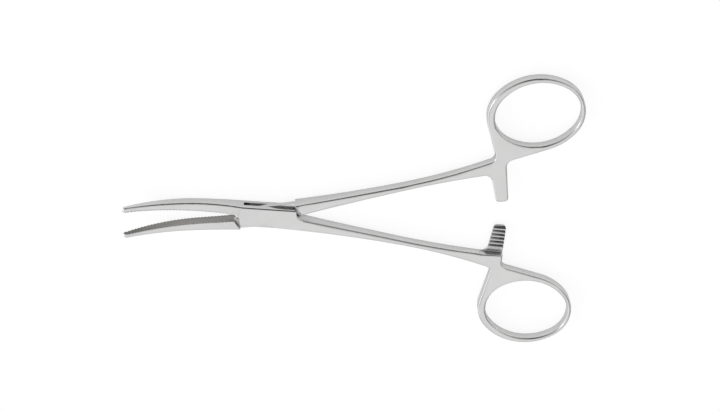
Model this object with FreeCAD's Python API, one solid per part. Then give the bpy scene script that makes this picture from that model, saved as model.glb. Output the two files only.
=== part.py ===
import math
import os

from FreeCAD import Vector
import Part

# A curved box-lock haemostat, 14 cm pattern. Sizes are in millimetres, angles in degrees.
# Each half is drawn closed and flat about z = 0, with the pivot at the origin, its jaw
# towards -X on the -Y side and its handle towards +X on the +Y side. The halves are then
# swung open about the pivot and lifted until the underside of the box lies on z = 0.
# A reach is a distance from the pivot along X, an offset is one across it.

# Opening: each half stands this far from closed
open_angle = 4.96

# Box lock: two cheeks with a slot between them, and the neck that passes through the slot
box_half_width = 3.3
box_side_reach = 9.0
box_thickness = 4.8
box_flat_reach = 8.0
cheek_end_radius = 8.6
cheek_blend_radius = 1.9
slot_end_radius = 8.2
neck_thickness = 1.5
neck_side_clearance = 0.05
neck_end_clearance = 0.15
shoulder_distance = 9.17
shoulder_angle = 29.0

# Lock pin
pin_diameter = 2.5
pin_running_clearance = 0.04

# Jaws, curved upwards towards their tips
jaw_length = 43.35
jaw_middle_reach = 24.0
jaw_middle_width = 2.8
jaw_tip_width = 1.3
jaw_curve_start = 21.5
jaw_curve_radius = 52.0
jaw_heel_thickness = 3.4
jaw_tip_thickness = 1.5
jaw_pivot_gap = 0.37
jaw_tip_gap = 0.03

# Serrations across the whole grip face
serration_pitch = 1.0
serration_crest = 0.08
serration_depth = 0.2
serration_heel = 12.5

# Shanks: inner edge and width where they leave the box and at the waist
shank_root_reach = 10.6
shank_root_inner = 0.1
shank_root_width = 3.6
shank_waist_reach = 41.0
shank_waist_inner = 5.0
shank_waist_width = 1.8
shank_thickness = 3.2

# Where the shank runs out: at the ratchet bar on its inner edge, at a notch on its outer one,
# the notch so far short of the ring's centre
shank_end_inner = 8.0
notch_setback = 12.25
notch_offset = 12.9
web_offset = 12.0

# Finger rings: ovals of four arcs
ring_reach = 81.65
ring_offset = 26.85
ring_tilt = 5.7
ring_opening_length = 25.6
ring_opening_width = 20.8
ring_opening_end_radius = 8.9
ring_opening_shift = 0.55
ring_side_wall = 1.8
ring_end_wall = 1.8

# Ratchet bars and teeth, the bar's inner edge so far short of the ring's centre
bar_setback = 13.05
bar_width = 3.7
bar_root_flare = 1.1
bar_overlap = 1.5
bar_clearance = 0.1
tooth_pitch = 1.27
tooth_count = 6
tooth_height = 0.6
tooth_ramp_share = 0.58
tooth_land_share = 0.28

# Rims: rounded on the jaw and the box beside it, bevelled on the shank, the bar and the ring
rim_radius = 0.6
rim_bevel = 0.45
opening_bevel = 0.42

# Rounding of the outline
notch_radius = 2.0
bar_root_radius = 2.2
web_radius = 2.2
bar_end_radius = 1.1

# Worked-out values
half_thickness = box_thickness / 2
heel_height = -(box_thickness - jaw_heel_thickness) / 2
jaw_sweep = math.asin((jaw_length - jaw_tip_thickness / 2 - jaw_curve_start) / jaw_curve_radius)
jaw_run = jaw_curve_start + jaw_curve_radius * jaw_sweep
neck_end_radius = slot_end_radius - neck_end_clearance
slot_thickness = neck_thickness + 2 * neck_side_clearance
bar_inner_reach = ring_reach - bar_setback
bar_outer_reach = bar_inner_reach + bar_width
bar_end_offset = -bar_overlap
shank_root_outer = shank_root_inner + shank_root_width
shank_waist_outer = shank_waist_inner + shank_waist_width
notch = (ring_reach - notch_setback, notch_offset)
web_corner = (bar_outer_reach, web_offset)
bar_root = (bar_inner_reach - bar_root_flare, shank_end_inner)
bar_end_corners = [(bar_inner_reach, bar_end_offset), (bar_outer_reach, bar_end_offset)]

# Any tool that cuts right through is made this high, this wide or this long
past_all_heights = 4 * box_thickness
past_all_widths = 4 * ring_offset
past_the_box = 2 * cheek_end_radius
past_the_tip = jaw_length + 2 * jaw_tip_thickness


# Lines, arcs and slabs


def in_plan(point):
    return Vector(point[0], point[1], 0)


def in_side_view(point):
    return Vector(point[0], 0, point[1])


def line_edges(points, place=in_plan):
    return [Part.LineSegment(place(a), place(b)).toShape() for a, b in zip(points, points[1:])]


def arc_edges(points, heading, place=in_plan):
    """Arcs through the points in turn, each tangent to the last, the first leaving along heading."""
    edges = []
    for (x0, y0), (x1, y1) in zip(points, points[1:]):
        chord = math.atan2(y1 - y0, x1 - x0)
        turn = 2 * math.remainder(chord - heading, 2 * math.pi)
        if abs(turn) < 1e-6:
            edges += line_edges([(x0, y0), (x1, y1)], place)
        else:
            bulge = math.tan(turn / 4) / 2
            middle = ((x0 + x1) / 2 + bulge * (y1 - y0), (y0 + y1) / 2 - bulge * (x1 - x0))
            edges.append(Part.Arc(place((x0, y0)), place(middle), place((x1, y1))).toShape())
        heading += turn
    return edges


def slab(edges, low=-past_all_heights / 2, high=past_all_heights / 2):
    face = Part.Face(Part.Wire(edges))
    face.translate(Vector(0, 0, low))
    return face.extrude(Vector(0, 0, high - low))


def disc(radius, low=-past_all_heights / 2, high=past_all_heights / 2):
    return Part.makeCylinder(radius, high - low, Vector(0, 0, low))


def upright_edges(solid, corners):
    """The upright edges of a slab that stand on the given plan corners."""
    found = []
    for edge in solid.Edges:
        box = edge.BoundBox
        if max(box.XLength, box.YLength) > 1e-4:
            continue
        if any(math.hypot(box.XMin - x, box.YMin - y) < 1e-3 for x, y in corners):
            found.append(edge)
    return found


# Finger ring


def oval(half_length, half_width, end_radius, shift=0):
    """Four arcs, anticlockwise, each as its centre, radius, first and last angle."""
    end_shift = half_length - end_radius
    spare = half_width - end_radius
    side_radius = (end_shift**2 + half_width**2 - end_radius**2) / (2 * spare)
    side_shift = side_radius - half_width
    join = math.atan2(side_shift, end_shift)
    tilt = math.radians(ring_tilt)
    arcs = []
    for x, y, radius, first, last in (
        (end_shift, 0, end_radius, -join, join),
        (0, -side_shift, side_radius, join, math.pi - join),
        (-end_shift, 0, end_radius, math.pi - join, math.pi + join),
        (0, side_shift, side_radius, math.pi + join, 2 * math.pi - join),
    ):
        centre = Vector(
            ring_reach + (shift + x) * math.cos(tilt) - y * math.sin(tilt),
            ring_offset + (shift + x) * math.sin(tilt) + y * math.cos(tilt),
            0,
        )
        arcs.append((centre, radius, first + tilt, last + tilt))
    return arcs


def ring_edge(centre, radius, first, last):
    circle = Part.Circle(centre, Vector(0, 0, 1), radius)
    return Part.ArcOfCircle(circle, first, last).toShape()


def touching_angle(arc, corner, side):
    """Where a line from corner touches the arc on that side, or None if it misses the arc."""
    centre, radius, first, last = arc
    away = in_plan(corner) - centre
    if away.Length <= radius:
        return None
    angle = math.atan2(away.y, away.x) + side * math.acos(radius / away.Length)
    angle = first + (angle - first) % (2 * math.pi)
    return angle if angle <= last else None


def ring_outside():
    """The ring's outside, from the web round to the notch, open where the shank comes in."""
    length = ring_opening_length / 2 + ring_end_wall
    width = ring_opening_width / 2 + ring_side_wall
    arcs = oval(length, width, ring_opening_end_radius + ring_side_wall)
    arcs = arcs[3:] + arcs[:3]
    edges = []
    for arc in arcs:
        centre, radius, first, last = arc
        start = touching_angle(arc, web_corner, +1)
        end = touching_angle(arc, notch, -1)
        if start is not None:
            edges = []
            first = start
        if end is not None:
            last = end
        edges.append(ring_edge(centre, radius, first, last))
        if end is not None:
            break
    return edges


def ring_opening():
    half_length, half_width = ring_opening_length / 2, ring_opening_width / 2
    arcs = oval(half_length, half_width, ring_opening_end_radius, ring_opening_shift)
    return slab([ring_edge(*arc) for arc in arcs])


# One half as forged


def blank_outline():
    """The outside of one half in plan, with the corners beside the box left full."""
    jaw_side = arc_edges(
        [
            (-box_side_reach, -box_half_width),
            (-jaw_middle_reach, -jaw_middle_width),
            (-past_the_tip, -jaw_tip_width),
        ],
        math.pi,
    )
    shank_outer = arc_edges(
        [
            (0, box_half_width),
            (shank_root_reach, shank_root_outer),
            (shank_waist_reach, shank_waist_outer),
            notch,
        ],
        0,
    )
    root = (shank_root_reach, shank_root_inner)
    waist = (shank_waist_reach, shank_waist_inner)
    slope = (waist[1] - root[1]) / (waist[0] - root[0])
    shank_inner = arc_edges([root, waist, bar_root], math.atan(slope))
    beside_root = (root[0] + slope * (root[1] + box_half_width), -box_half_width)
    outside = ring_outside()
    ring_start = outside[0].Vertexes[0].Point
    ring_end = outside[-1].Vertexes[-1].Point
    edges = jaw_side + shank_outer + shank_inner + outside
    edges += line_edges([(-box_side_reach, -box_half_width), beside_root, root])
    edges += line_edges([bar_root] + bar_end_corners + [web_corner, ring_start])
    edges += line_edges([ring_end, notch])
    edges += line_edges(
        [(0, box_half_width), (-past_the_tip, box_half_width), (-past_the_tip, -jaw_tip_width)]
    )
    return Part.__sortEdges__(edges)


def spine_at(run):
    """Middle of the jaw in the side view after this much of its length, and its direction."""
    if run <= jaw_curve_start:
        return Vector(-run, 0, heel_height), Vector(-1, 0, 0)
    turn = (run - jaw_curve_start) / jaw_curve_radius
    forward = jaw_curve_radius * math.sin(turn)
    rise = jaw_curve_radius * (1 - math.cos(turn))
    middle = Vector(-jaw_curve_start - forward, 0, heel_height + rise)
    return middle, Vector(-math.cos(turn), 0, math.sin(turn))


def jaw_thickness_at(run):
    share = max(0, run - jaw_curve_start) / (jaw_run - jaw_curve_start)
    return jaw_heel_thickness + (jaw_tip_thickness - jaw_heel_thickness) * share


def side_profile():
    """The side view of one half, as a slab across its whole width."""
    centre, along = spine_at(jaw_run)
    up = Vector(along.z, 0, -along.x)
    nose = [centre + way * (jaw_tip_thickness / 2) for way in (up, along, -up)]
    nose_top = (nose[0].x, nose[0].z)
    nose_bottom = (nose[2].x, nose[2].z)
    box_top = (-box_flat_reach, half_thickness)
    heel_top = (-jaw_curve_start, heel_height + jaw_heel_thickness / 2)
    heel_bottom = (-jaw_curve_start, -half_thickness)
    shank_top = (shank_waist_reach, shank_thickness / 2)
    shank_bottom = (shank_waist_reach, -shank_thickness / 2)
    far_top = (past_all_widths, shank_thickness / 2)
    far_bottom = (past_all_widths, -shank_thickness / 2)
    edges = [Part.Arc(*nose).toShape()]
    edges += arc_edges([heel_top, nose_top], math.pi, in_side_view)
    edges += arc_edges([heel_bottom, nose_bottom], math.pi, in_side_view)
    edges += arc_edges([heel_top, box_top], 0, in_side_view)
    edges += arc_edges([shank_top, (box_flat_reach, half_thickness)], math.pi, in_side_view)
    edges += arc_edges([shank_bottom, (box_flat_reach, -half_thickness)], math.pi, in_side_view)
    edges += line_edges([box_top, (box_flat_reach, half_thickness)], in_side_view)
    edges += line_edges([heel_bottom, (box_flat_reach, -half_thickness)], in_side_view)
    edges += line_edges([shank_top, far_top, far_bottom, shank_bottom], in_side_view)
    face = Part.Face(Part.Wire(Part.__sortEdges__(edges)))
    face.translate(Vector(0, -past_all_widths / 2, 0))
    return face.extrude(Vector(0, past_all_widths, 0))


def is_cap(face):
    """True for the faces cut by the side profile: they run level across, and aren't upright."""
    u0, u1, v0, v1 = face.ParameterRange
    normal = face.normalAt((u0 + u1) / 2, (v0 + v1) / 2)
    return abs(normal.y) < 0.01 and abs(normal.z) > 0.1


def rim_edges(solid):
    """The edges round the top and the bottom, without those on metal that is cut off later.

    Those beside the jaw come first, and the rest, round the handle, second.
    """
    seen = {}
    for cap in filter(is_cap, solid.Faces):
        for edge in cap.Edges:
            seen.setdefault(edge.hashCode(), []).append(edge)
    rims = [edges[0] for edges in seen.values() if len(edges) == 1]
    jaw_rims = []
    handle_rims = []
    for edge in rims:
        middle = edge.BoundBox.Center
        beside_jaw = middle.x < -box_side_reach and middle.y > 0
        beside_shank = shank_root_reach < middle.x < past_the_box and middle.y < shank_root_inner
        if beside_jaw or beside_shank:
            continue
        if middle.x < shank_root_reach and middle.y < 0:
            jaw_rims.append(edge)
        else:
            handle_rims.append(edge)
    return jaw_rims, handle_rims


def rounded_blank():
    """One half before the lock, the teeth and the serrations are cut."""
    blank = slab(blank_outline())
    blank = blank.makeFillet(notch_radius, upright_edges(blank, [notch]))
    blank = blank.makeFillet(bar_root_radius, upright_edges(blank, [bar_root]))
    blank = blank.makeFillet(web_radius, upright_edges(blank, [web_corner]))
    blank = blank.makeFillet(bar_end_radius, upright_edges(blank, bar_end_corners))
    blank = blank.common(side_profile())
    blank = blank.makeFillet(rim_radius, rim_edges(blank)[0])
    blank = blank.makeChamfer(rim_bevel, rim_edges(blank)[1])
    opened = blank.cut(ring_opening())
    opening_rims = []
    for cap in filter(is_cap, opened.Faces):
        for wire in cap.Wires:
            size = wire.BoundBox
            if size.Center.x > bar_outer_reach and size.XLength > ring_opening_width:
                opening_rims += wire.Edges
    return opened.makeChamfer(opening_bevel, opening_rims)


# What is cut off a half


def grip_gap_at(reach):
    return jaw_pivot_gap + (jaw_tip_gap - jaw_pivot_gap) * reach / jaw_length


def grip_side(reach, low=-past_all_heights / 2, high=past_all_heights / 2):
    """Everything on the other half's side of the grip face, as far as reach."""
    corners = [(0, -grip_gap_at(0)), (-reach, -grip_gap_at(reach))]
    corners += [(-reach, past_all_widths), (0, past_all_widths)]
    return slab(line_edges(corners + corners[:1]), low, high)


def shank_side(low=-past_all_heights / 2, high=past_all_heights / 2):
    """Everything beside the shank on the other half's side, as far as the box reaches."""
    corners = [(0, shank_root_inner), (past_the_box, shank_root_inner)]
    corners += [(past_the_box, -past_all_widths), (0, -past_all_widths)]
    return slab(line_edges(corners + corners[:1]), low, high)


def corner_on_circle(radius, height, slope):
    """Where the line y = height + slope * x, followed from the pivot, leaves the circle."""
    a = 1 + slope**2
    b = height * slope
    c = height**2 - radius**2
    x = (-b + math.sqrt(b**2 - a * c)) / a
    return x, height + slope * x


def free_corners(end_radius, blend_radius=0):
    """What goes on both sides of the box, down to a round end about the pivot."""
    grip = grip_side(past_the_tip).cut(disc(end_radius))
    shank = shank_side().cut(disc(end_radius))
    if blend_radius:
        gap = grip_gap_at(0)
        x, y = corner_on_circle(end_radius, gap, grip_gap_at(1) - gap)
        grip = grip.makeFillet(blend_radius, upright_edges(grip, [(-x, -y)]))
        corner = corner_on_circle(end_radius, shank_root_inner, 0)
        shank = shank.makeFillet(blend_radius, upright_edges(shank, [corner]))
    return grip.fuse(shank)


def serration_cuts(offset):
    """V grooves square across the grip face, following its curve."""
    half_mouth = (serration_pitch - serration_crest) / 2
    grooves = []
    run = serration_heel + offset
    while run < jaw_run - half_mouth:
        middle, along = spine_at(run)
        across = Vector(along.z, 0, -along.x)
        half_height = jaw_thickness_at(run) / 2 + jaw_tip_thickness
        base = middle - across * half_height + Vector(0, -grip_gap_at(-middle.x), 0)
        mouth = along * (2 * half_mouth)
        lift = Vector(0, serration_depth, 0)
        corners = [base + mouth + lift, base - mouth + lift, base - lift]
        groove = Part.Face(Part.makePolygon(corners + corners[:1]))
        grooves.append(groove.extrude(across * (2 * half_height)))
        run += serration_pitch
    return Part.makeCompound(grooves)


def ratchet_cut(layer):
    """What is cut off a ratchet bar to leave it toothed, in its own layer.

    layer is +1 where the bar keeps its upper half and -1 where it keeps its lower one.
    """
    crest = layer * bar_clearance / 2
    valley = crest + layer * tooth_height
    far = -layer * shank_thickness / 2
    clear = -layer * past_all_heights / 2
    first_tooth = bar_end_offset + rim_bevel / 2
    teeth = [(bar_end_offset - rim_radius, valley), (first_tooth, valley)]
    for i in range(tooth_count):
        foot = first_tooth + i * tooth_pitch
        land = foot + tooth_ramp_share * tooth_pitch
        teeth += [(foot, valley)] if i else []
        teeth += [(land, crest), (land + tooth_land_share * tooth_pitch, crest)]
    last_foot = first_tooth + tooth_count * tooth_pitch
    teeth += [(last_foot, valley), (shank_end_inner, valley)]
    teeth.append((shank_end_inner, far + layer * rim_radius))
    lip = (shank_end_inner + rim_radius, far)
    start = (teeth[0][0], clear)
    x = bar_root[0] - bar_root_radius

    def place(point):
        return Vector(x, point[0], point[1])

    edges = line_edges(teeth, place)
    edges += arc_edges([teeth[-1], lip], -layer * math.pi / 2, place)
    edges += line_edges([lip, (lip[0], clear), start, teeth[0]], place)
    face = Part.Face(Part.Wire(Part.__sortEdges__(edges)))
    return face.extrude(Vector(bar_outer_reach + bar_root_radius - x, 0, 0))


# The pieces


def make_through_half():
    """The half whose thin neck passes through the slot in the other one."""
    half = rounded_blank().cut(free_corners(neck_end_radius))
    above = (neck_thickness / 2, past_all_heights / 2)
    below = (-past_all_heights / 2, -neck_thickness / 2)
    for low, high in (above, below):
        corner = Vector(-shoulder_distance, -shoulder_distance, low)
        between_shoulders = Part.makeBox(
            2 * shoulder_distance, 2 * shoulder_distance, high - low, corner
        )
        half = half.cut(between_shoulders.rotated(Vector(), Vector(0, 0, 1), shoulder_angle))
    half = half.cut(disc(pin_diameter / 2 + pin_running_clearance))
    half = half.cut(ratchet_cut(+1))
    half = half.cut(serration_cuts(0))
    return half.rotated(Vector(), Vector(0, 0, 1), open_angle)


def make_box_half():
    """The half with the slotted box: two cheeks joined at the jaw and at the shank."""
    half = rounded_blank().cut(free_corners(cheek_end_radius, cheek_blend_radius))
    low, high = -slot_thickness / 2, slot_thickness / 2
    slot = disc(slot_end_radius, low, high)
    slot = slot.fuse(grip_side(past_the_box, low, high)).fuse(shank_side(low, high))
    half = half.cut(slot)
    half = half.cut(disc(pin_diameter / 2))
    half = half.cut(ratchet_cut(-1))
    half = half.cut(serration_cuts(serration_pitch / 2))
    half = half.mirror(Vector(), Vector(0, 1, 0))
    return half.rotated(Vector(), Vector(0, 0, 1), -open_angle)


def make_lock_pin():
    return disc(pin_diameter / 2, -half_thickness, half_thickness)


def single_solid(shape):
    solids = shape.Solids
    if len(solids) != 1:
        raise ValueError("expected one solid, found %d" % len(solids))
    return solids[0]


def main():
    os.makedirs("parts", exist_ok=True)
    nodes = {
        "box_half": make_box_half(),
        "through_half": make_through_half(),
        "lock_pin": make_lock_pin(),
    }
    for name, shape in nodes.items():
        solid = single_solid(shape).translated(Vector(0, 0, half_thickness))
        print(name, "valid", solid.isValid(), "volume", round(solid.Volume, 2), "faces", len(solid.Faces))
        solid.exportStep("parts/" + name + ".step")


main()
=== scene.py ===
import math

import bpy
from mathutils import Matrix, Vector


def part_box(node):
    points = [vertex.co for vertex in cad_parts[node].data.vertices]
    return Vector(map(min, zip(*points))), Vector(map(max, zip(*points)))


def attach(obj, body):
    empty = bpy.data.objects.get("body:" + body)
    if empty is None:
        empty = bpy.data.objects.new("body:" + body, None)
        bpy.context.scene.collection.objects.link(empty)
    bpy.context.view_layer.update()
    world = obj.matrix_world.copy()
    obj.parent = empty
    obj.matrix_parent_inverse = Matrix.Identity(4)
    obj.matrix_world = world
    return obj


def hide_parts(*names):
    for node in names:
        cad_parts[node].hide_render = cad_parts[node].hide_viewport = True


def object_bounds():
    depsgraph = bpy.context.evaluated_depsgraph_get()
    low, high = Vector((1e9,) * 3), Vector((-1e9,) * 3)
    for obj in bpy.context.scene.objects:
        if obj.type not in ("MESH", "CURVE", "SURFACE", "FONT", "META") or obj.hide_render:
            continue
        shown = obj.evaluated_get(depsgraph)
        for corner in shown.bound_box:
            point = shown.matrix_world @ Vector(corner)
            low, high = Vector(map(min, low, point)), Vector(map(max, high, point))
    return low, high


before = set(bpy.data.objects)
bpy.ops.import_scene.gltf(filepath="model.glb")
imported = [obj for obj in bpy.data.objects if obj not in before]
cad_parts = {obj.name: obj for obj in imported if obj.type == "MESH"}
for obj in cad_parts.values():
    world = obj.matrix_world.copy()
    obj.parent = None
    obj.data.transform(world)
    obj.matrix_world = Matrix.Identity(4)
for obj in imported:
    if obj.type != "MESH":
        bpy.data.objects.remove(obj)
cad_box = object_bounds()
scene = bpy.context.scene

MM = 0.001

# Where things are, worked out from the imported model
pin_low, pin_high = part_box("lock_pin")
pin_radius = (pin_high.x - pin_low.x) / 2
middle_height = (pin_low.z + pin_high.z) / 2
length = cad_box[1][0] - cad_box[0][0]
HINGE = (0.0, 0.0, 0.0)
RATCHET = (67 * MM, 0.0, 0.0)
GRIP_START = -10 * MM

# Camera: it looks steeply down on the box, from the side of through_half's ring
IMAGE_WIDTH = 720
CAMERA_TILT = math.radians(30.0)
CAMERA_PAN = -0.0401
CAMERA_ROLL = -0.0076
CAMERA_DISTANCE = 637.0 * MM
CAMERA_TARGET = Vector((27.627 * MM, 2.987 * MM, middle_height))
CAMERA_SEES_FROM = 0.01
CAMERA_SEES_TO = 20.0
PIXELS_PER_METRE = 3.33 / MM
SENSOR_WIDTH = 36.0


def add_camera():
    tilt, pan, roll = CAMERA_TILT, CAMERA_PAN, CAMERA_ROLL
    right = Vector((1, 0, 0))
    up = Vector((0, math.cos(tilt), -math.sin(tilt)))
    back = Vector((0, math.sin(tilt), math.cos(tilt)))
    right, back = (
        right * math.cos(pan) - back * math.sin(pan),
        back * math.cos(pan) + right * math.sin(pan),
    )
    right, up = (
        right * math.cos(roll) + up * math.sin(roll),
        up * math.cos(roll) - right * math.sin(roll),
    )
    data = bpy.data.cameras.new("photo_camera")
    data.sensor_fit = "HORIZONTAL"
    data.sensor_width = SENSOR_WIDTH
    data.lens = PIXELS_PER_METRE * CAMERA_DISTANCE * SENSOR_WIDTH / IMAGE_WIDTH
    data.clip_start = CAMERA_SEES_FROM
    data.clip_end = CAMERA_SEES_TO
    camera = bpy.data.objects.new("photo_camera", data)
    scene.collection.objects.link(camera)
    place = CAMERA_TARGET + back * CAMERA_DISTANCE
    turn = Matrix((right, up, back)).transposed().to_4x4()
    camera.matrix_world = Matrix.Translation(place) @ turn
    scene.camera = camera


# Node helpers


class Tree:
    """A node tree being wired: node() adds a node and sets its inputs to values or sockets."""

    def __init__(self, tree):
        self.tree = tree
        tree.nodes.clear()

    def node(self, kind, inputs=None, **settings):
        made = self.tree.nodes.new(kind)
        for name, value in settings.items():
            setattr(made, name, value)
        for name, value in (inputs or {}).items():
            if isinstance(value, bpy.types.NodeSocket):
                self.tree.links.new(value, made.inputs[name])
            else:
                made.inputs[name].default_value = value
        return made

    def link(self, source, target):
        self.tree.links.new(source, target)

    def math(self, operation, a, b=0.0, clamp=False):
        made = self.node("ShaderNodeMath", {0: a, 1: b}, operation=operation)
        made.use_clamp = clamp
        return made.outputs[0]

    def rescale(self, value, low, high, new_low=0.0, new_high=1.0, kind="LINEAR"):
        """The value's run from low to high as one from new_low to new_high, held at both ends."""
        inputs = {"Value": value, "From Min": low, "From Max": high}
        inputs.update({"To Min": new_low, "To Max": new_high})
        return self.node("ShaderNodeMapRange", inputs, interpolation_type=kind).outputs["Result"]

    def blend(self, share, a, b):
        """The number a where share is 0 and b where it is 1."""
        return self.node("ShaderNodeMix", {0: share, 2: a, 3: b}, data_type="FLOAT").outputs[0]

    def blend_vectors(self, share, a, b):
        """The vector a where share is 0 and b where it is 1."""
        return self.node("ShaderNodeMix", {0: share, 4: a, 5: b}, data_type="VECTOR").outputs[1]

    def dot(self, a, b):
        inputs = {0: a, 1: b}
        return self.node("ShaderNodeVectorMath", inputs, operation="DOT_PRODUCT").outputs["Value"]

    def distance(self, a, b):
        inputs = {0: a, 1: b}
        return self.node("ShaderNodeVectorMath", inputs, operation="DISTANCE").outputs["Value"]

    def grey(self, level):
        inputs = {"Red": level, "Green": level, "Blue": level}
        return self.node("ShaderNodeCombineColor", inputs).outputs["Color"]


# Steel

# The grinding belt's marks: how many to the metre, and how far they are drawn out along X
GRAIN_SCALE, GRAIN_STRETCH, GRAIN_DETAIL = 9000.0, 24.0, 4.0
HAIRLINE_SCALE, HAIRLINE_STRETCH, HAIRLINE_DETAIL = 2400.0, 50.0, 2.0
HAIRLINE_SEED = 3.0
HAIRLINE_DEPTH = 1.6
BELT_ROUGHNESS = 0.6
GRINDING_STRENGTH = 0.35

# Faint clouding of the finish, and the patches where hands have rubbed it
CLOUD_SCALE, CLOUD_DETAIL = 110.0, 3.0
HANDLING_SCALE, HANDLING_DETAIL = 520.0, 5.0

# Which part of each noise's run is used
TONE_NOISE_FROM, TONE_NOISE_TO = 0.3, 0.7
HAIRLINE_FROM, HAIRLINE_TO = 0.45, 0.75
HANDLED_FROM, HANDLED_TO = 0.35, 0.7
WORN_PATCH_FROM, WORN_PATCH_TO = 0.35, 0.6
WORN_LEAST = 0.4

# How much each of them shifts the tone or the roughness
CLOUD_TONE = 0.02
GRAIN_TONE = 0.022
WORN_TONE = 0.07
HANDLING_GLOSS, HANDLING_MATT = -0.03, 0.05
HAIRLINE_MATT = 0.05
RECESS_MATT = 0.2
WORN_GLOSS = 0.08

# Green and blue as shares of red
STEEL_TINT = (0.997, 0.994)
GROOVE_TINT = (0.980, 0.945)

# The rims are softened by shading, but less round the hinge and the ratchet, where they are
# ground crisp, and not at all across the pin, which is ground flush
CRISP_PLACES = (HINGE, RATCHET)
CRISP_REACH = 11 * MM
CRISP_FADE = 4 * MM
CRISP_SHARE = 0.12
PIN_MARGIN, PIN_FADE = 0.25 * MM, 0.4 * MM
ROUNDING_SAMPLES = 8

# How far rounding turns a face before it counts as a worn edge: the cosines of the two ends
WORN_FROM, WORN_TO = 0.98, 0.85

# How closed in a place is before painted shade darkens its colour, and its roughness rises
RECESS_REACH = 2.4 * MM
RECESS_SAMPLES = 12
RECESS_FROM, RECESS_TO = 0.62, 0.22

# The grooves of the grip faces get painted shade at their bottoms, and all of them are darker towards
# the tips
GROOVE_REACH = 0.3 * MM
GROOVE_SAMPLES = 12
GROOVE_FROM, GROOVE_TO = 0.95, 0.65
GROOVE_LIGHT = 0.35
TIP_FROM, TIP_TO = -26 * MM, -40 * MM
TIP_LIGHT = 0.50


def belt_marks(tree, place, scale, stretch, detail, seed):
    """Noise drawn out along X, as a grinding belt leaves it along the instrument."""
    shift = seed * MM
    inputs = {"Vector": place, "Scale": (1.0 / stretch, 1.0, 1.0), "Location": (shift, shift, shift)}
    mapped = tree.node("ShaderNodeMapping", inputs).outputs["Vector"]
    inputs = {"Vector": mapped, "Scale": scale, "Detail": detail, "Roughness": BELT_ROUGHNESS}
    return tree.node("ShaderNodeTexNoise", inputs).outputs["Fac"]


def patches(tree, place, scale, detail):
    inputs = {"Vector": place, "Scale": scale, "Detail": detail}
    return tree.node("ShaderNodeTexNoise", inputs).outputs["Fac"]


def rounded_normal(tree, place, radius, true_faces):
    """The surface's direction with its rims rounded off."""
    inputs = {"Vector": place, "Scale": (1.0, 1.0, 0.0)}
    seen_from_above = tree.node("ShaderNodeMapping", inputs).outputs["Vector"]
    for centre in CRISP_PLACES:
        away = tree.distance(seen_from_above, centre)
        share = tree.rescale(away, CRISP_REACH, CRISP_REACH + CRISP_FADE, CRISP_SHARE, 1.0)
        radius = tree.math("MULTIPLY", share, radius)
    inputs = {"Radius": radius}
    rounded = tree.node("ShaderNodeBevel", inputs, samples=ROUNDING_SAMPLES).outputs["Normal"]
    flush_radius = pin_radius + PIN_MARGIN
    from_pin = tree.distance(seen_from_above, HINGE)
    beside_pin = tree.rescale(from_pin, flush_radius, flush_radius + PIN_FADE)
    return tree.blend_vectors(beside_pin, true_faces["Normal"], rounded)


def painted_groove_shade(tree, place):
    """Painted shade of the grip faces: how much of their colour the groove bottoms keep, and all of
    it less towards the tips.
    """
    inputs = {"Distance": GROOVE_REACH}
    shelter = tree.node("ShaderNodeAmbientOcclusion", inputs, samples=GROOVE_SAMPLES).outputs["AO"]
    light = tree.rescale(shelter, GROOVE_FROM, GROOVE_TO, 1.0, GROOVE_LIGHT)
    along = tree.node("ShaderNodeSeparateXYZ", {0: place}).outputs["X"]
    return tree.math("MULTIPLY", light, tree.rescale(along, TIP_FROM, TIP_TO, 1.0, TIP_LIGHT))


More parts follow.
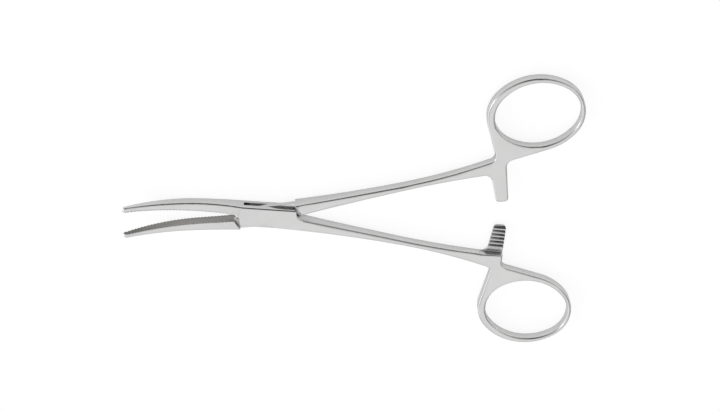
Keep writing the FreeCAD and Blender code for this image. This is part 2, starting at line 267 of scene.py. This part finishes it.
def steel_material(name, tone, roughness, grain_depth, seed, recess_painted_shade, rounding, in_grooves=None):
    """Satin stainless steel: belt grain along X, faint clouding, bright worn edges, and painted shade
    in the recesses.
    """
    material = bpy.data.materials.new(name)
    material.use_nodes = True
    tree = Tree(material.node_tree)
    place = tree.node("ShaderNodeTexCoord").outputs["Object"]
    faces = tree.node("ShaderNodeNewGeometry").outputs
    grain = belt_marks(tree, place, GRAIN_SCALE, GRAIN_STRETCH, GRAIN_DETAIL, seed)
    hairline_seed = seed + HAIRLINE_SEED
    hairlines = belt_marks(
        tree, place, HAIRLINE_SCALE, HAIRLINE_STRETCH, HAIRLINE_DETAIL, hairline_seed
    )
    clouds = patches(tree, place, CLOUD_SCALE, CLOUD_DETAIL)
    handling = patches(tree, place, HANDLING_SCALE, HANDLING_DETAIL)
    rounded = rounded_normal(tree, place, rounding, faces)
    worn = tree.rescale(tree.dot(rounded, faces["True Normal"]), WORN_FROM, WORN_TO)
    worn_patches = tree.rescale(handling, WORN_PATCH_FROM, WORN_PATCH_TO, WORN_LEAST, 1.0)
    worn = tree.math("MULTIPLY", worn, worn_patches)
    # Painted shade: how closed in each place is, which darkens the colour below and makes it rougher
    inputs = {"Distance": RECESS_REACH}
    shelter = tree.node("ShaderNodeAmbientOcclusion", inputs, samples=RECESS_SAMPLES).outputs["AO"]
    recess = tree.rescale(shelter, RECESS_FROM, RECESS_TO)

    # Colour: the steel's tone, shifted a little by each mark, with painted shade in the recesses
    tone_noise = (TONE_NOISE_FROM, TONE_NOISE_TO)
    shade = tree.rescale(clouds, *tone_noise, -CLOUD_TONE, CLOUD_TONE)
    grain_shade = tree.rescale(grain, *tone_noise, -GRAIN_TONE, GRAIN_TONE)
    shade = tree.math("ADD", shade, grain_shade)
    shade = tree.math("ADD", shade, tree.math("MULTIPLY", worn, WORN_TONE))
    level = tree.math("ADD", shade, tone)
    # Painted shade darkens the colour where the place is closed in
    kept_light = tree.rescale(recess, 0.0, 1.0, 1.0, 1.0 - recess_painted_shade)
    level = tree.math("MULTIPLY", level, kept_light, clamp=True)
    green_share, blue_share = STEEL_TINT
    # Painted shade at the bottoms of the grip's grooves, and the grip darker towards the tips
    if in_grooves:
        level = tree.math("MULTIPLY", level, in_grooves(tree, place))
        green_share, blue_share = GROOVE_TINT
    green = tree.math("MULTIPLY", level, green_share)
    blue = tree.math("MULTIPLY", level, blue_share)
    inputs = {"Red": level, "Green": green, "Blue": blue}
    colour = tree.node("ShaderNodeCombineColor", inputs).outputs["Color"]

    # Roughness: patchy from handling, higher in scratches and recesses, lower on worn edges
    low, high = roughness + HANDLING_GLOSS, roughness + HANDLING_MATT
    rough = tree.rescale(handling, HANDLED_FROM, HANDLED_TO, low, high)
    scratched = tree.rescale(hairlines, HAIRLINE_FROM, HAIRLINE_TO, 0.0, HAIRLINE_MATT)
    rough = tree.math("ADD", rough, scratched)
    rough = tree.math("ADD", rough, tree.math("MULTIPLY", recess, RECESS_MATT))
    rough = tree.math("SUBTRACT", rough, tree.math("MULTIPLY", worn, WORN_GLOSS), clamp=True)

    height = tree.math("ADD", grain, tree.math("MULTIPLY", hairlines, HAIRLINE_DEPTH))
    inputs = {"Strength": GRINDING_STRENGTH, "Distance": grain_depth, "Height": height}
    inputs["Normal"] = rounded
    bump = tree.node("ShaderNodeBump", inputs).outputs["Normal"]

    inputs = {"Base Color": colour, "Metallic": 1.0, "Roughness": rough, "Normal": bump}
    shader = tree.node("ShaderNodeBsdfPrincipled", inputs)
    output = tree.node("ShaderNodeOutputMaterial")
    tree.link(shader.outputs["BSDF"], output.inputs["Surface"])
    return material


def instrument_steel():
    return steel_material(
        "instrument_steel",
        tone=0.80,
        roughness=0.20,
        grain_depth=5e-6,
        seed=0.0,
        recess_painted_shade=0.80,
        rounding=0.80 * MM,
    )


def grip_steel():
    """The cut faces of the jaws, duller than the polished outside, whose darker tone is partly their
    cut finish and partly painted shade for the dark reflection of the other jaw they face.
    """
    return steel_material(
        "grip_steel",
        # Painted shade in part: a low tone for the other jaw that these faces reflect
        tone=0.40,
        roughness=0.28,
        grain_depth=8e-6,
        seed=5.0,
        recess_painted_shade=0.70,
        rounding=0.05 * MM,
        in_grooves=painted_groove_shade,
    )


def pin_steel():
    return steel_material(
        "pin_steel",
        tone=0.80,
        roughness=0.21,
        grain_depth=5e-6,
        seed=0.0,
        recess_painted_shade=0.80,
        rounding=0.80 * MM,
    )


# Finishing the two halves: their facets are joined and shaded smooth up to the real edges,
# and the cut faces of the jaws get a steel of their own

JOIN_DISTANCE = 0.001 * MM
SHARP_ABOVE = math.radians(50)
FLAT_FACES_COUNT = 80
GRIP_FACING = 0.70
GRIP_FACING_FADE = 0.01


def finishing_tree():
    group = bpy.data.node_groups.new("forceps_half_finish", "GeometryNodeTree")
    sockets = group.interface
    sockets.new_socket("Geometry", in_out="INPUT", socket_type="NodeSocketGeometry")
    for name, kind, value in (
        ("Join distance", "NodeSocketFloat", JOIN_DISTANCE),
        ("Sharp above", "NodeSocketFloat", SHARP_ABOVE),
        ("Grip faces", "NodeSocketVector", (0, 1, 0)),
        ("Grip starts at", "NodeSocketFloat", GRIP_START),
        ("Steel", "NodeSocketMaterial", None),
        ("Grip steel", "NodeSocketMaterial", None),
    ):
        socket = sockets.new_socket(name, in_out="INPUT", socket_type=kind)
        if value is not None:
            socket.default_value = value
    sockets.new_socket("Geometry", in_out="OUTPUT", socket_type="NodeSocketGeometry")
    tree = Tree(group)
    start = tree.node("NodeGroupInput").outputs

    # Join the loose facets and shade them smooth, apart from the real edges
    inputs = {"Geometry": start["Geometry"], "Distance": start["Join distance"]}
    joined = tree.node("GeometryNodeMergeByDistance", inputs).outputs["Geometry"]
    angle = tree.node("GeometryNodeInputMeshEdgeAngle").outputs["Unsigned Angle"]
    soft = tree.math("LESS_THAN", angle, start["Sharp above"])
    inputs = {"Geometry": joined, "Shade Smooth": True}
    smooth = tree.node("GeometryNodeSetShadeSmooth", inputs, domain="FACE").outputs["Geometry"]
    inputs = {"Geometry": smooth, "Shade Smooth": soft}
    edged = tree.node("GeometryNodeSetShadeSmooth", inputs, domain="EDGE").outputs["Geometry"]

    # The grip face is what faces the other jaw, from the box to the tip
    normal = tree.node("GeometryNodeInputNormal").outputs[0]
    facing = tree.dot(normal, start["Grip faces"])
    across = tree.rescale(facing, GRIP_FACING, GRIP_FACING + GRIP_FACING_FADE)
    where = tree.node("GeometryNodeInputPosition").outputs[0]
    along = tree.node("ShaderNodeSeparateXYZ", {0: where}).outputs["X"]
    in_jaw = tree.math("LESS_THAN", along, start["Grip starts at"])
    grip = tree.math("GREATER_THAN", tree.math("MULTIPLY", across, in_jaw), 0.5)

    real = tree.node("GeometryNodeRealizeInstances", {"Geometry": edged}).outputs["Geometry"]
    inputs = {"Geometry": real, "Material": start["Steel"]}
    steel = tree.node("GeometryNodeSetMaterial", inputs).outputs["Geometry"]
    inputs = {"Geometry": steel, "Material": start["Grip steel"], "Selection": grip}
    finished = tree.node("GeometryNodeSetMaterial", inputs).outputs["Geometry"]
    end = tree.node("NodeGroupOutput")
    tree.link(finished, end.inputs["Geometry"])
    return group


def set_input(modifier, name, value):
    for item in modifier.node_group.interface.items_tree:
        if item.item_type == "SOCKET" and item.in_out == "INPUT" and item.name == name:
            modifier[item.identifier] = value
            return
    raise ValueError("no input named " + name)


def finished_half(node, body, steel, grip, grip_faces, tree):
    """A smooth-shaded copy of a CAD half, which is shown in its place."""
    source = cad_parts[node]
    half = bpy.data.objects.new(node + "_finished", source.data.copy())
    scene.collection.objects.link(half)
    half.data.materials.clear()
    modifier = half.modifiers.new("finish", "NODES")
    modifier.node_group = tree
    set_input(modifier, "Steel", steel)
    set_input(modifier, "Grip steel", grip)
    set_input(modifier, "Grip faces", grip_faces)
    weighted = half.modifiers.new("flat faces first", "WEIGHTED_NORMAL")
    weighted.keep_sharp = True
    weighted.weight = FLAT_FACES_COUNT
    bpy.context.view_layer.update()
    depsgraph = bpy.context.evaluated_depsgraph_get()
    plain = bpy.data.meshes.new_from_object(half.evaluated_get(depsgraph), depsgraph=depsgraph)
    half.modifiers.clear()
    half.data = plain
    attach(half, body)
    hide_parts(node)


def dress_pin():
    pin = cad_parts["lock_pin"]
    pin.data.materials.clear()
    pin.data.materials.append(pin_steel())


# Studio: a pale table, a light tent over it and two soft boxes, where a level of 1 is white

TABLE_WIDTH = 4.0
TABLE_TONE = 0.62
TABLE_TONE_SEEN = 0.28
TABLE_GLOW_SEEN = 0.87
TABLE_GLOW_MIRRORED = 0.42
TABLE_ROUGHNESS = 0.4

TENT_LEVEL_BESIDE = 0.64
TENT_LEVEL_OVERHEAD = 0.765
TENT_OVERHEAD_FROM = 0.5

# The tent is pale overhead, and these parts of it are lighter or darker: where each lies as
# a direction from the object, how far it reaches in degrees, how soft its edge is, and its level
TENT_PARTS = (
    ("grey back panel, middle", (0, 0.90, 0.42), 20, 16, 0.42),
    ("grey back panel, left", (-0.62, 0.68, 0.40), 16, 14, 0.38),
    ("grey back panel, right", (0.62, 0.68, 0.40), 18, 14, 0.32),
    ("grey cloth round the lens gap", (0, 0.66, 0.75), 18, 32, 0.28),
    ("dark gap for the lens", (0, 0.78, 0.63), 17, 10, 0.0),
    ("white side panel", (-0.93, -0.25, 0.20), 26, 14, 1.30),
    ("grey fold beside it", (-0.60, -0.35, 0.70), 8, 10, 0.40),
    ("grey end panel", (0.93, -0.30, 0.15), 26, 18, 0.20),
)

# Name, place, width, height and level
SOFT_BOXES = (
    ("overhead_box", (0.03, -0.45, 0.75), 0.9, 0.5, 0.06),
    ("side_box", (-0.7, 0.1, 0.35), 0.25, 0.5, 0.8),
)
SOFT_BOX_AIM = Vector((length / 4, 0, 0))


def add_table():
    """A pale table, which the camera sees as white and the steel as a lighter grey than it is."""
    bpy.ops.mesh.primitive_plane_add(size=TABLE_WIDTH, location=(0, 0, 0))
    table = bpy.context.object
    table.name = "studio_table"
    material = bpy.data.materials.new("white_table")
    material.use_nodes = True
    tree = Tree(material.node_tree)
    rays = tree.node("ShaderNodeLightPath").outputs
    seen = rays["Is Camera Ray"]
    mirrored = tree.math("ADD", rays["Is Glossy Ray"], rays["Is Transmission Ray"], clamp=True)
    glow_seen = tree.math("MULTIPLY", seen, TABLE_GLOW_SEEN)
    glow_mirrored = tree.math("MULTIPLY", mirrored, TABLE_GLOW_MIRRORED)
    glow = tree.math("ADD", glow_seen, glow_mirrored)
    tone = tree.grey(tree.blend(seen, TABLE_TONE, TABLE_TONE_SEEN))
    paper = tree.node("ShaderNodeBsdfDiffuse", {"Color": tone, "Roughness": TABLE_ROUGHNESS})
    light = tree.node("ShaderNodeEmission", {"Strength": glow})
    lifted = tree.node("ShaderNodeAddShader")
    tree.link(paper.outputs[0], lifted.inputs[0])
    tree.link(light.outputs[0], lifted.inputs[1])
    output = tree.node("ShaderNodeOutputMaterial")
    tree.link(lifted.outputs[0], output.inputs["Surface"])
    table.data.materials.append(material)


def add_tent():
    world = bpy.data.worlds.new("light_tent")
    scene.world = world
    world.use_nodes = True
    tree = Tree(world.node_tree)
    direction = tree.node("ShaderNodeTexCoord").outputs["Generated"]
    height = tree.node("ShaderNodeSeparateXYZ", {"Vector": direction}).outputs["Z"]
    levels = (TENT_LEVEL_BESIDE, TENT_LEVEL_OVERHEAD)
    level = tree.rescale(height, 0.0, TENT_OVERHEAD_FROM, *levels, kind="SMOOTHSTEP")
    for name, centre, reach, softness, part_level in TENT_PARTS:
        along = tree.dot(direction, Vector(centre).normalized())
        edge = math.cos(math.radians(reach + softness))
        full = math.cos(math.radians(reach))
        share = tree.rescale(along, edge, full, kind="SMOOTHSTEP")
        share.node.label = name
        level = tree.blend(share, level, part_level)
    seen = tree.node("ShaderNodeLightPath").outputs["Is Camera Ray"]
    level = tree.blend(seen, level, 1.0)
    background = tree.node("ShaderNodeBackground", {"Color": (1, 1, 1, 1), "Strength": level})
    output = tree.node("ShaderNodeOutputWorld")
    tree.link(background.outputs[0], output.inputs["Surface"])


def add_soft_box(name, place, width, height, level):
    data = bpy.data.lights.new(name, "AREA")
    data.shape = "RECTANGLE"
    data.size = width
    data.size_y = height
    data.energy = level * math.pi * width * height
    lamp = bpy.data.objects.new(name, data)
    scene.collection.objects.link(lamp)
    lamp.location = place
    aim = SOFT_BOX_AIM - Vector(place)
    lamp.rotation_euler = aim.to_track_quat("-Z", "Y").to_euler()


add_camera()
steel = instrument_steel()
grip = grip_steel()
tree = finishing_tree()
finished_half("box_half", "box_side", steel, grip, (0, -1, 0), tree)
finished_half("through_half", "through_side", steel, grip, (0, 1, 0), tree)
dress_pin()
add_table()
add_tent()
for soft_box in SOFT_BOXES:
    add_soft_box(*soft_box)

scene.view_settings.view_transform = "Standard"
